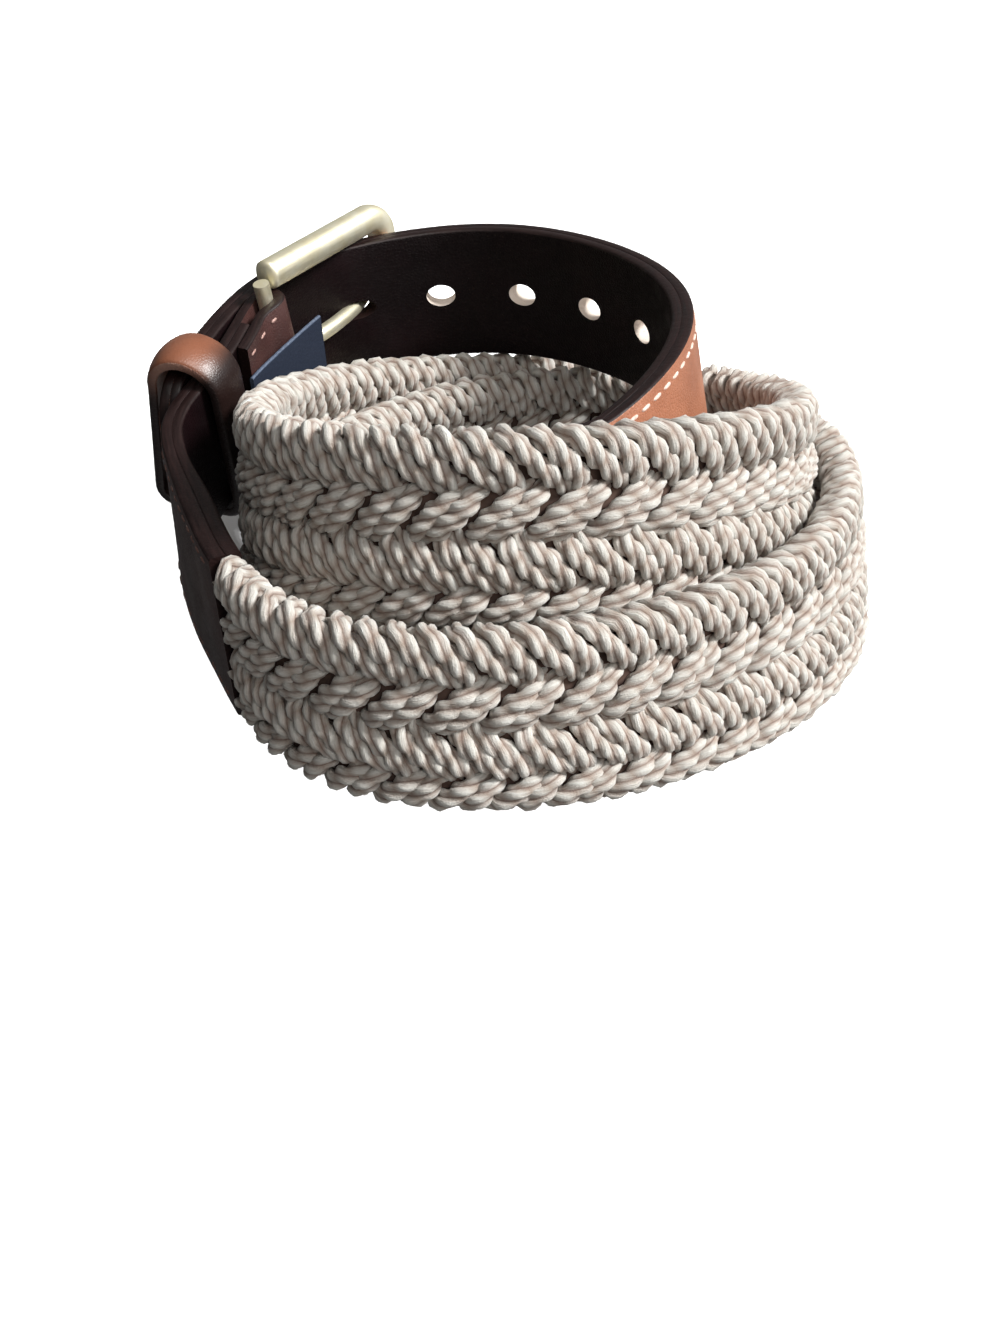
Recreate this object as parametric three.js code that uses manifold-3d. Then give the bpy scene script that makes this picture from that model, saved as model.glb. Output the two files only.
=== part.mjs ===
// A braided cord belt with leather ends, rolled up on its edge and buckled.
// Millimetres, +Z up, the surface it stands on is z = 0. "Out" is away from the middle of the roll.
import * as THREE from "three";
import { mergeVertices } from "three/addons/utils/BufferGeometryUtils.js";
import Module from "manifold-3d";

const wasm = await Module();
wasm.setup();

// Driving sizes, in millimetres. Names with at, from, to, end, turns, held and fades are turns of the
// route in degrees.
const GAP = 0.3;
const PRESSED_FLAT = 0.6;
const BRAID = { width: 35, thick: 7, edge: 3.5, from: -58, to: 722, step: 7, endThick: 0.8, endTurns: 8 };
const TONGUE = { width: 24, thick: 1.2, turns: 12, buriedTurns: 2 };
const LEATHER = { width: 29.8, outer: 2.1, lining: 1.9, edge: 0.5, step: 5 };
const JUNCTION = { width: 34, swell: 0.8, held: 15, fades: 14 };
const TIP = { at: 1040, cornerTurns: 9, flatShare: 0.35, closeUp: 1.25 };
const PUNCH_LENGTH = 12;
const HOLE = { length: 6.6, width: 5, at: [842.4, 868.4, 896.8, 923.7] };
const PRONG_HOLE = { length: 10.8, width: 5.4, at: 953.6 };
const FRAME = { bar: 3, heelBar: 1.7, halfHeight: 18.4, corner: 5, clearance: 0.7, at: 940 };
const SIDE_BAR_PAST_HEEL = 0.4;
const FOLD = { at: -162, flapEnd: -121, liningEnd: -134, runSteps: 31, bendSteps: 5, flapSteps: 14 };
const SLOT = { length: 12, width: 5, shift: -1.2 };
const PRONG = { root: 1.7, tip: 1.5, ring: 1.1, clearance: 0.2, shoulder: 0.6, past: 3 };
const PRONG_BOW = { depth: 1.25, share: 0.55 };
const KEEPER = { at: -110, length: 10.5, thick: 2.2, corner: 2 };
const KEEPER_INSIDE = { inner: -2.8, outer: 8.6, flare: 4.2, bottom: -16.2, top: 18.2 };
const LABEL = { at: -119, length: 24, width: 18, thick: 0.8, edge: 0.2, above: 0 };
const LABEL_CURL = { depth: 5.4, power: 1.2 };
const FACETS = { strapEdge: 3, rod: 12, ball: 8, ring: 20, ringBar: 8, prongSide: 5, keeper: 6, hole: 16 };

// The strap's middle line from the buckle to the tip, as the control points of a smooth curve.
// turn: degrees round the roll from its front, x, y, z: place, lean: how far the top edge tips outwards.
const ROUTE = [
  { turn: -165, x: -50.5, y: 38.7, z: 44.2, lean: -0.6 },
  { turn: -150, x: -52.1, y: 35.2, z: 42.9, lean: -1.9 },
  { turn: -137, x: -53.7, y: 31.7, z: 41.6, lean: -3.3 },
  { turn: -125, x: -55.7, y: 26.0, z: 39.5, lean: -4.5 },
  { turn: -114, x: -58.3, y: 17.5, z: 36.5, lean: -4.6 },
  { turn: -104, x: -61.3, y: 9.3, z: 33.6, lean: -3.0 },
  { turn: -95, x: -63.8, y: 2.6, z: 31.3, lean: -0.2 },
  { turn: -85, x: -64.9, y: -8.3, z: 27.7, lean: 2.2 },
  { turn: -70, x: -53.7, y: -31.2, z: 19.7, lean: 5.5 },
  { turn: -40, x: -38.9, y: -66.9, z: 16.9, lean: 7.7 },
  { turn: 0, x: 6.6, y: -77.6, z: 18.0, lean: -0.8 },
  { turn: 60, x: 63.2, y: -39.6, z: 17.0, lean: -8.6 },
  { turn: 120, x: 76.4, y: 32.3, z: 18.1, lean: -9.9 },
  { turn: 180, x: 27.3, y: 79.7, z: 16.4, lean: -7.2 },
  { turn: 240, x: -47.8, y: 51.2, z: 21.9, lean: -3.3 },
  { turn: 300, x: -55.4, y: -41.3, z: 38.9, lean: -1.1 },
  { turn: 360, x: 15.0, y: -68.7, z: 48.4, lean: -2.2 },
  { turn: 420, x: 67.5, y: -8.3, z: 32.6, lean: -4.1 },
  { turn: 480, x: 47.2, y: 56.8, z: 20.3, lean: -6.1 },
  { turn: 540, x: -11.1, y: 62.3, z: 16.7, lean: -7.8 },
  { turn: 600, x: -48.3, y: 10.3, z: 17.8, lean: -8.7 },
  { turn: 660, x: -35.6, y: -39.1, z: 25.6, lean: -9.2 },
  { turn: 720, x: 5.4, y: -50.4, z: 33.6, lean: -10.1 },
  { turn: 780, x: 37.7, y: -17.2, z: 49.4, lean: -11.0 },
  { turn: 840, x: 35.8, y: 34.7, z: 51.4, lean: -10.3 },
  { turn: 900, x: 2.4, y: 67.1, z: 52.8, lean: -8.7 },
  { turn: 945, x: -31.8, y: 67.1, z: 48.2, lean: -5.8 },
  { turn: 985, x: -52.1, y: 50.0, z: 46.0, lean: -3.4 },
  { turn: 1020, x: -61.4, y: 26.7, z: 40.0, lean: -2.4 },
  { turn: 1055, x: -71.3, y: -6.9, z: 28.5, lean: -1.5 },
];

const MATERIALS = {
  cord: new THREE.MeshStandardMaterial({ color: 0xc9bca9, roughness: 0.95 }),
  tan: new THREE.MeshStandardMaterial({ color: 0xb9683f, roughness: 0.5 }),
  dark: new THREE.MeshStandardMaterial({ color: 0x24130f, roughness: 0.6 }),
  brass: new THREE.MeshStandardMaterial({ color: 0xd8cfa4, roughness: 0.3, metalness: 1 }),
  navy: new THREE.MeshStandardMaterial({ color: 0x2b3a55, roughness: 0.9 }),
};

const rad = THREE.MathUtils.degToRad;
const lerp = THREE.MathUtils.lerp;
const smooth = THREE.MathUtils.smoothstep;

// The control point of a row number, carried straight on past both ends.
function controlPoint(row) {
  const last = ROUTE.length - 1;
  const point = ({ x, y, z, lean }) => new THREE.Vector4(x, y, z, lean);
  if (row < 0) return point(ROUTE[0]).multiplyScalar(2).sub(point(ROUTE[1]));
  if (row > last) return point(ROUTE[last]).multiplyScalar(2).sub(point(ROUTE[last - 1]));
  return point(ROUTE[row]);
}

// A uniform cubic B-spline: the place and lean at a row number that may lie between two rows.
function spline(row) {
  const first = Math.min(Math.floor(row), ROUTE.length - 2);
  const f = row - first;
  const weights = [
    (1 - f) ** 3 / 6,
    (3 * f ** 3 - 6 * f ** 2 + 4) / 6,
    (-3 * f ** 3 + 3 * f ** 2 + 3 * f + 1) / 6,
    f ** 3 / 6,
  ];
  const sum = new THREE.Vector4(0, 0, 0, 0);
  weights.forEach((weight, i) => sum.addScaledVector(controlPoint(first - 1 + i), weight));
  return sum;
}

function rowOf(turn) {
  const next = Math.max(1, Math.min(ROUTE.length - 1, ROUTE.findIndex((row) => row.turn >= turn)));
  const a = ROUTE[next - 1].turn;
  const b = ROUTE[next].turn;
  return next - 1 + (turn - a) / (b - a);
}

// Where the strap is at a turn: its middle and its directions along, up its width and out of its face.
function place(turn) {
  const row = rowOf(turn);
  const here = spline(row);
  const delta = 0.01;
  const ahead = spline(Math.min(row + delta, ROUTE.length - 1));
  const behind = spline(Math.max(row - delta, 0));
  const along = new THREE.Vector3(ahead.x - behind.x, ahead.y - behind.y, ahead.z - behind.z).normalize();
  const plumb = new THREE.Vector3(0, 0, 1).addScaledVector(along, -along.z).normalize();
  const up = plumb.clone().applyAxisAngle(along, rad(here.w));
  return { middle: new THREE.Vector3(here.x, here.y, here.z), along, up, out: along.clone().cross(up) };
}

// A point beside a place: so far along the strap, up its width and out of its face.
function beside({ middle, along, up, out }, a, u, o) {
  return middle.clone().addScaledVector(along, a).addScaledVector(up, u).addScaledVector(out, o);
}

// How many steps of about this length the route takes between two turns.
function stepsBetween(from, to, step) {
  const samples = 200;
  let length = 0;
  let last = place(from).middle;
  for (let i = 1; i <= samples; i += 1) {
    const next = place(lerp(from, to, i / samples)).middle;
    length += next.distanceTo(last);
    last = next;
  }
  return Math.max(1, Math.round(length / step));
}

// A section of a strap: x up its width, y out of its face, with chamfered or rounded edges.
function section(width, thick, edge, rounded = false) {
  const w = width / 2;
  const t = thick / 2;
  const shape = new THREE.Shape();
  shape.moveTo(-w + edge, -t);
  if (!rounded) shape.lineTo(-w / 3, -t).lineTo(w / 3, -t);
  shape.lineTo(w - edge, -t);
  if (rounded) shape.absarc(w - edge, 0, t, -Math.PI / 2, Math.PI / 2, false);
  else shape.lineTo(w, -t + edge).lineTo(w, t - edge).lineTo(w - edge, t);
  if (!rounded) shape.lineTo(w / 3, t).lineTo(-w / 3, t);
  shape.lineTo(-w + edge, t);
  if (rounded) shape.absarc(-w + edge, 0, t, Math.PI / 2, (Math.PI * 3) / 2, false);
  else shape.lineTo(-w, t - edge).lineTo(-w, -t + edge);
  return shape;
}

function extruded(shape, depth, steps, curveSegments) {
  return new THREE.ExtrudeGeometry(shape, { depth, steps, curveSegments, bevelEnabled: false });
}

// Extrudes a section straight and then takes each of its points to its place on a rail.
// rail(share of the length) gives a place with optional width and thick factors.
function sweep(shape, steps, rail) {
  const geometry = extruded(shape, 1, steps, FACETS.strapEdge);
  const points = geometry.getAttribute("position");
  for (let i = 0; i < points.count; i += 1) {
    const at = rail(points.getZ(i));
    const point = beside(at, 0, points.getX(i) * (at.width ?? 1), points.getY(i) * (at.thick ?? 1));
    points.setXYZ(i, point.x, point.y, point.z < PRESSED_FLAT ? 0 : point.z);
  }
  return geometry;
}

function toSolid(geometry) {
  const bare = new THREE.BufferGeometry().setAttribute("position", geometry.getAttribute("position"));
  if (geometry.index) bare.setIndex(geometry.index);
  const merged = mergeVertices(bare, 1e-4);
  return new wasm.Manifold(
    new wasm.Mesh({
      numProp: 3,
      vertProperties: merged.getAttribute("position").array,
      triVerts: new Uint32Array(merged.index.array),
    }),
  );
}

function toGeometry(solid) {
  const { vertProperties, triVerts } = solid.getMesh();
  return new THREE.BufferGeometry()
    .setAttribute("position", new THREE.BufferAttribute(vertProperties, 3))
    .setIndex(new THREE.BufferAttribute(triVerts, 1));
}

const joined = (geometries) => toGeometry(geometries.map(toSolid).reduce((all, next) => all.add(next)));
const cut = (geometry, cutters) =>
  toGeometry(cutters.map(toSolid).reduce((left, next) => left.subtract(next), toSolid(geometry)));

// An oval punch through the strap at a turn.
function holePunch({ length, width }, turn) {
  const { middle, along, up, out } = place(turn);
  const punch = new THREE.CylinderGeometry(1, 1, PUNCH_LENGTH, FACETS.hole);
  punch.scale(length / 2, 1, width / 2);
  const down = up.clone().negate();
  return punch.applyMatrix4(new THREE.Matrix4().makeBasis(along, out, down).setPosition(middle));
}

// How much wider and further apart the leather is where it holds the end of the braid.
function junctionSwell(turn) {
  const near = Math.min(Math.abs(turn - BRAID.from), Math.abs(turn - BRAID.to));
  return 1 - smooth(near, JUNCTION.held, JUNCTION.held + JUNCTION.fades);
}

// The tip's rounded corners: the share of the full width left at a turn.
function tipShare(turn) {
  const left = Math.max(TIP.at - turn, 0) / TIP.cornerTurns;
  if (left >= 1) return 1;
  return lerp(TIP.flatShare, 1, Math.sqrt(1 - (1 - left) ** 2));
}

// The rail of a leather sheet beside the strap's middle. At the tip its steps come closer together.
function leatherRail(from, to, offset, tip = false) {
  return (share) => {
    const turn = tip ? lerp(from, to, 1 - (1 - share) ** TIP.closeUp) : lerp(from, to, share);
    const at = place(turn);
    const swell = junctionSwell(turn);
    const off = offset + Math.sign(offset) * swell * JUNCTION.swell;
    const wide = lerp(1, JUNCTION.width / LEATHER.width, swell);
    const up = to < from ? at.up.clone().negate() : at.up;
    return { ...at, up, middle: beside(at, 0, 0, off), width: wide * (tip ? tipShare(turn) : 1) };
  };
}

const OUTER_AT = GAP / 2 + LEATHER.outer / 2;
const LINING_AT = -(GAP / 2 + LEATHER.lining / 2);
const OUTER_FACE = GAP / 2 + LEATHER.outer;
const INNER_FACE = -(GAP / 2 + LEATHER.lining);

// The braid, with a flat tongue at each end that the leather holds between its two sheets.
function braidedStrap() {
  const shape = section(BRAID.width, BRAID.thick, BRAID.edge, true);
  const steps = stepsBetween(BRAID.from, BRAID.to, BRAID.step);
  const body = sweep(shape, steps, (share) => {
    const turn = lerp(BRAID.from, BRAID.to, share);
    const end = Math.min(turn - BRAID.from, BRAID.to - turn);
    return { ...place(turn), thick: lerp(BRAID.endThick, 1, smooth(end, 0, BRAID.endTurns)) };
  });
  const flat = section(TONGUE.width, TONGUE.thick, TONGUE.thick / 3);
  const tongue = (from, to) => sweep(flat, 4, (share) => place(lerp(from, to, share)));
  return joined([
    body,
    tongue(BRAID.from - TONGUE.turns, BRAID.from + TONGUE.buriedTurns),
    tongue(BRAID.to - TONGUE.buriedTurns, BRAID.to + TONGUE.turns),
  ]);
}

// One leather sheet of the tip end, with its punched holes.
function tipSheet(thick, offset) {
  const from = BRAID.to + 1;
  const shape = section(LEATHER.width, thick, LEATHER.edge);
  const steps = stepsBetween(from, TIP.at, LEATHER.step);
  const sheet = sweep(shape, steps, leatherRail(from, TIP.at, offset, true));
  const punches = HOLE.at.map((turn) => holePunch(HOLE, turn));
  return cut(sheet, [...punches, holePunch(PRONG_HOLE, PRONG_HOLE.at)]);
}

// The heel bar's place: just inside the outer leather where that folds round it.
const FOLD_RADIUS = FRAME.heelBar + GAP + LEATHER.outer / 2;
const foldPlace = place(FOLD.at);
const heelBarMiddle = beside(foldPlace, 0, 0, OUTER_AT - FOLD_RADIUS);

// The outer leather runs to the heel bar, goes half round it and comes back as a flap inside.
const FOLD_STEPS = FOLD.runSteps + FOLD.bendSteps + FOLD.flapSteps;
function foldRail(share) {
  const step = share * FOLD_STEPS;
  const bend = (step - FOLD.runSteps) / FOLD.bendSteps;
  if (bend <= 0) return leatherRail(BRAID.from - 1, FOLD.at, OUTER_AT)(step / FOLD.runSteps);
  if (bend <= 1) return bendAt(bend * Math.PI);
  return flapAt((step - FOLD.runSteps - FOLD.bendSteps) / FOLD.flapSteps);
}

function bendAt(angle) {
  const { along, up, out } = foldPlace;
  const outwards = out.clone().multiplyScalar(Math.cos(angle)).addScaledVector(along, -Math.sin(angle));
  const middle = heelBarMiddle.clone().addScaledVector(outwards, FOLD_RADIUS);
  return { along, up: up.clone().negate(), out: outwards, middle };
}

function flapAt(share) {
  const at = place(lerp(FOLD.at, FOLD.flapEnd, share));
  const besideBar = OUTER_AT - 2 * FOLD_RADIUS;
  const onLining = INNER_FACE - GAP - LEATHER.outer / 2;
  const middle = beside(at, 0, 0, lerp(besideBar, onLining, smooth(share, 0, 0.5)));
  return { ...at, up: at.up.clone().negate(), out: at.out.clone().negate(), middle };
}

// The outer leather at the buckle, slotted at its fold for the prong.
function buckleEndLeather() {
  const sheet = sweep(section(LEATHER.width, LEATHER.outer, LEATHER.edge), FOLD_STEPS, foldRail);
  const { along, up, out } = foldPlace;
  const middle = heelBarMiddle.clone().addScaledVector(along, SLOT.shift);
  const slot = new THREE.BoxGeometry(SLOT.length, SLOT.length, SLOT.width);
  slot.applyMatrix4(new THREE.Matrix4().makeBasis(along, out, up.clone().negate()).setPosition(middle));
  return cut(sheet, [slot]);
}

function buckleEndLining() {
  const from = BRAID.from - 1;
  const shape = section(LEATHER.width, LEATHER.lining, LEATHER.edge);
  const steps = stepsBetween(FOLD.liningEnd, from, LEATHER.step);
  return sweep(shape, steps, leatherRail(from, FOLD.liningEnd, LINING_AT));
}

// The buckle frame's own directions: from its front bar to its heel bar, up its height, and out.
// The front bar lies flat on the outside of the strap's tip end.
function frameAxes() {
  const strap = place(FRAME.at);
  const middle = beside(strap, 0, 0, OUTER_FACE + FRAME.clearance + FRAME.bar);
  const toHeel = heelBarMiddle.clone().sub(middle);
  const up = strap.up.clone().addScaledVector(toHeel, -strap.up.dot(toHeel) / toHeel.lengthSq()).normalize();
  const along = toHeel.clone().normalize();
  return { middle, along, up, out: along.clone().cross(up), length: toHeel.length() };
}
const frame = frameAxes();

// A round bar through points, each with its own radius, closed at both ends.
function roundBar(points, radii, steps) {
  const curve = new THREE.CatmullRomCurve3(points, false, "centripetal");
  const up = frame.up;
  const shape = new THREE.Shape().absarc(0, 0, 1, 0, Math.PI * 2, false);
  const geometry = extruded(shape, 1, steps, FACETS.prongSide);
  const position = geometry.getAttribute("position");
  for (let i = 0; i < position.count; i += 1) {
    const share = position.getZ(i);
    const along = curve.getTangentAt(share);
    const side = along.clone().cross(up).normalize();
    const lift = side.clone().cross(along);
    const radius = radii(share);
    const point = curve
      .getPointAt(share)
      .addScaledVector(lift, position.getX(i) * radius)
      .addScaledVector(side, position.getY(i) * radius);
    position.setXYZ(i, point.x, point.y, point.z);
  }
  return geometry;
}

// A straight round bar between two points.
function rod(from, to, radius) {
  const length = from.distanceTo(to);
  const turn = new THREE.Quaternion().setFromUnitVectors(
    new THREE.Vector3(0, 1, 0),
    to.clone().sub(from).normalize(),
  );
  return new THREE.CylinderGeometry(radius, radius, length, FACETS.rod)
    .applyQuaternion(turn)
    .translate(...from.clone().add(to).multiplyScalar(0.5).toArray());
}

// The frame: two side bars, a front bar with rounded corners and a thinner heel bar.
function buckleFrame() {
  const { halfHeight, corner, bar, heelBar } = FRAME;
  const inset = corner * (1 - Math.SQRT1_2);
  const at = (a, u) => beside(frame, a, u, 0);
  const heelAt = (u) => beside({ ...foldPlace, middle: heelBarMiddle }, 0, u, 0);
  const ball = ({ x, y, z }) => new THREE.SphereGeometry(bar, FACETS.rod, FACETS.ball).translate(x, y, z);
  const sides = [1, -1].flatMap((side) => {
    const start = at(corner, side * halfHeight);
    const elbow = at(inset, side * (halfHeight - inset));
    const end = at(0, side * (halfHeight - corner));
    const heel = at(frame.length + SIDE_BAR_PAST_HEEL, side * halfHeight);
    const bars = [rod(heel, start, bar), rod(start, elbow, bar), rod(elbow, end, bar)];
    return [...bars, ball(start), ball(elbow), ball(end)];
  });
  const front = rod(at(0, halfHeight - corner), at(0, corner - halfHeight), bar);
  return joined([...sides, front, rod(heelAt(halfHeight), heelAt(-halfHeight), heelBar)]);
}

// The prong: a ring round the heel bar and a bar through its hole in the strap to the front bar.
function buckleProng() {
  const { along, out, up } = foldPlace;
  const ringRadius = FRAME.heelBar + PRONG.clearance + PRONG.ring;
  const ring = new THREE.TorusGeometry(ringRadius, PRONG.ring, FACETS.ringBar, FACETS.ring);
  const down = up.clone().negate();
  ring.applyMatrix4(new THREE.Matrix4().makeBasis(along, out, down).setPosition(heelBarMiddle));
  const overBar = FRAME.bar + GAP + PRONG.tip;
  const hole = place(PRONG_HOLE.at).middle;
  const points = [
    heelBarMiddle.clone().addScaledVector(frame.along, -ringRadius - PRONG.shoulder),
    heelBarMiddle.clone().lerp(hole, PRONG_BOW.share).addScaledVector(frame.out, -PRONG_BOW.depth),
    hole,
    beside(frame, 0, 0, overBar),
    beside(frame, -PRONG.past, 0, overBar),
  ];
  const bar = roundBar(points, (share) => lerp(PRONG.root, PRONG.tip, share), 16);
  return joined([ring, bar]);
}

// The keeper: a leather loop round both layers, round over its top. Its outer wall stands away below.
function keeper() {
  const { inner, outer, flare, bottom, top } = KEEPER_INSIDE;
  const { corner, thick, length } = KEEPER;
  const radius = (outer - inner) / 2;
  const middle = (outer + inner) / 2;
  const quarter = Math.PI / 2;
  const loop = (grow) => {
    const path = new THREE.Path();
    path.absarc(top - radius, middle, radius + grow, -quarter, quarter, false);
    path.absarc(bottom + corner, outer + flare - corner, corner + grow, quarter, 2 * quarter, false);
    path.absarc(bottom + corner, inner + corner, corner + grow, 2 * quarter, 3 * quarter, false);
    return path;
  };
  const shape = new THREE.Shape(loop(thick).getPoints(FACETS.keeper));
  shape.holes.push(loop(0));
  const at = place(KEEPER.at);
  return extruded(shape, length, 1, FACETS.keeper)
    .translate(0, 0, -length / 2)
    .applyMatrix4(new THREE.Matrix4().makeBasis(at.up, at.out, at.along).setPosition(at.middle));
}

// The cloth label inside the flap. Its free end curls away from the flap, towards the roll.
function innerLabel() {
  const at = place(LABEL.at);
  const up = at.up.clone().negate();
  const start = INNER_FACE - GAP - LEATHER.outer - GAP - LABEL.thick / 2;
  return sweep(section(LABEL.width, LABEL.thick, LABEL.edge), 8, (share) => {
    const off = start - LABEL_CURL.depth * share ** LABEL_CURL.power;
    return { ...at, up, middle: beside(at, -LABEL.length * share, LABEL.above, off) };
  });
}

const group = new THREE.Group();
function add(name, geometry, material) {
  const mesh = new THREE.Mesh(geometry, material);
  mesh.name = name;
  group.add(mesh);
}
add("braided_strap", braidedStrap(), MATERIALS.cord);
add("tip_leather", tipSheet(LEATHER.outer, OUTER_AT), MATERIALS.tan);
add("tip_lining", tipSheet(LEATHER.lining, LINING_AT), MATERIALS.dark);
add("buckle_end_leather", buckleEndLeather(), MATERIALS.tan);
add("buckle_end_lining", buckleEndLining(), MATERIALS.dark);
add("buckle_frame", buckleFrame(), MATERIALS.brass);
add("buckle_prong", buckleProng(), MATERIALS.brass);
add("keeper", keeper(), MATERIALS.tan);
add("inner_label", innerLabel(), MATERIALS.navy);

export default group;
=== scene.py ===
"""The looks of a braided cord belt with leather ends, rolled up on its edge and buckled."""

import math

import bmesh
import bpy
import numpy as np
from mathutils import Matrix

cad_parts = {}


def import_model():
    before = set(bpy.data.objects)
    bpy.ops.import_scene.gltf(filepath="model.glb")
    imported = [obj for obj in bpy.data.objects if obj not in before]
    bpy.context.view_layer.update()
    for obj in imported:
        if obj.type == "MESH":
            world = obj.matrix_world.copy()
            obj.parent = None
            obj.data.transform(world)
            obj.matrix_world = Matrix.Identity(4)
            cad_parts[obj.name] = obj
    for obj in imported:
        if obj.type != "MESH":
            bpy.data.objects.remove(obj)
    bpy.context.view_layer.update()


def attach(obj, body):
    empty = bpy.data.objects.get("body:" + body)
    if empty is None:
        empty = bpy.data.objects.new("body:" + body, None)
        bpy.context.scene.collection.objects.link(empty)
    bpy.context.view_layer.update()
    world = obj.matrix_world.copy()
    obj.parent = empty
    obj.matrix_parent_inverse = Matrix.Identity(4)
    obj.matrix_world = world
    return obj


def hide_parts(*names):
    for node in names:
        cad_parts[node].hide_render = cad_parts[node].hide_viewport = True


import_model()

# Sizes in millimetres, the same as the CAD part's. MM turns them into Blender's metres.
# A turn is a place along the strap: degrees round the roll, counted on from its front. Turns are BRAID_FROM,
# BRAID_TO, ENDS_PAST, STITCH_ENDS but for flap_mm, JUNCTION's held and fades, TIP's corner, FOLD's ends and
# each at but the camera's. Gap is the room between one piece and the next.
MM = 0.001
GAP = 0.3

# Edges that turn by more degrees than this are sharp.
SHARP = {"metal": 40, "leather": 50, "cord": 180}

# The braid. Its pitch is the distance along the strap from one strand to the next. A grain is the short
# plump length that a ply shows: dip is how far it narrows at its ends, shift how far it lags the next ply's.
# Ends past is how far past the braid's ends its cords run and the leather's layers start. Plies apart is half
# the shift of the yarn's texture between the two cords of a strand, in plies.
BRAID_FROM, BRAID_TO = -58, 722
ENDS_PAST = {"cord": 0.7, "leather": 1}
PITCH = 9.74
STRANDS = 7
CORD = {"radius": 2.07, "plies": 4, "twist": 15.2, "around": 20, "rings_per_mm": 1.625, "flat": 0.92}
PLY_PROFILE = (0.62, 0.88, 1.0, 1.0, 0.88)
PLIES_APART = 10
GRAIN = {"length": 4.2, "dip": 0.29, "shift": 0.3}
BRAID_END = {"flatter": 0.86, "fade": 9.0}
CORE = {"width": 27.0, "thick": 1.2, "edge": 0.4, "step": 3.0}

# The braid's lowest cords are pressed flat this high over the surface.
PRESSED_AT = 0.03

# The leather ends. Seam is half the space between the two layers. Closed by is the share of the flap in
# which it comes down to the lining.
LEATHER = {"width": 29.8, "outer": 2.1, "lining": 1.9, "edge": 0.75, "inner_edge": 0.12, "step": 1.5}
SEAM = 0.01
JUNCTION = {"width": 34, "swell": 0.8, "held": 15, "fades": 14}
TIP = {"at": 1040, "corner": 9, "flat_share": 0.35, "points": 14}
HOLE = {"length": 6.6, "width": 5.0, "at": (842.4, 868.4, 896.8, 923.7)}
PRONG_HOLE = {"length": 9.0, "width": 4.2, "at": (953.6,)}
CUTTER = {"sides": 48, "reach": 8}
FOLD = {"at": -162, "flap_end": -121, "lining_end": -134, "points": 14, "closed_by": 0.5}
SLOT = {"length": 12.0, "width": 5.0, "shift": -1.2}
STITCH = {"length": 2.5, "every": 3.5, "radius": 0.32, "wide": 1.25, "from_edge": 2.6, "proud": -0.06}
STITCH_MESH = {"rings": 7, "sides": 8, "blunt": 0.04}
STITCH_ENDS = {"tip": 4, "braid": 5, "fold": 14, "flap_mm": 3}

# A strip's section: its painted edge band, the points along a face and the angles round a corner
EDGE_BAND = 0.35
FACE_POINTS = 9
CORNER_ANGLES = (22.5, 45, 67.5)

# The buckle end's outer face takes painted shade where it lies less than this far out of the heel bar.
SHADED_BELOW = 2.2

# The buckle. Bars are given by their half thickness: squareness 1 is round and 0 is square. Dome is how long
# the round end of a bar is, and dome end the square of the share of the bar's radius that it closes to.
FRAME = {"bar": 3.0, "heel_bar": 1.7, "half_height": 18.4, "corner": 5.0, "clearance": 0.7, "at": 940}
FRAME_BAR = {"squareness": 0.82, "past_heel": 0.6, "dome": 1.2, "corner_points": 16}
PRONG = {"root": 1.7, "tip": 1.5, "ring": 1.1, "clearance": 0.2, "shoulder": 0.6, "past": 3.0}
PRONG_BAR = {"squareness": 0.9, "dome": 1.2, "points": 90}
PRONG_BOW = {"depth": 1.25, "share": 0.55}
PRONG_RING = {"points": 48, "sides": 16, "step": 0.4}
DOME_END = 0.03

# Texture millimetres for each radian round a bar and round the prong's ring
TEXTURE_ROUND = {"bar": 2.5, "ring": 2}

# The keeper and the label. The keeper's tan fades to a dark painted shade on its inner and its outer wall:
# these are where each fade starts and ends, in millimetres round its loop.
KEEPER = {"at": -110, "length": 10.5, "thick": 2.2, "corner": 2.0, "dome": 1.1, "edge": 0.8}
KEEPER_INSIDE = {"inner": -2.8, "outer": 8.6, "flare": 4.2, "bottom": -16.2, "top": 18.2}
KEEPER_SHADE = {"inner": (8.5, 3.5), "outer": (13.0, 25.0), "colour": (0.012, 0.0045, 0.0035)}
LABEL = {"at": -119, "length": 24.0, "width": 18.0, "thick": 0.8, "edge": 0.35}
LABEL_CURL = {"depth": 5.4, "power": 1.2, "points": 40}

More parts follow.
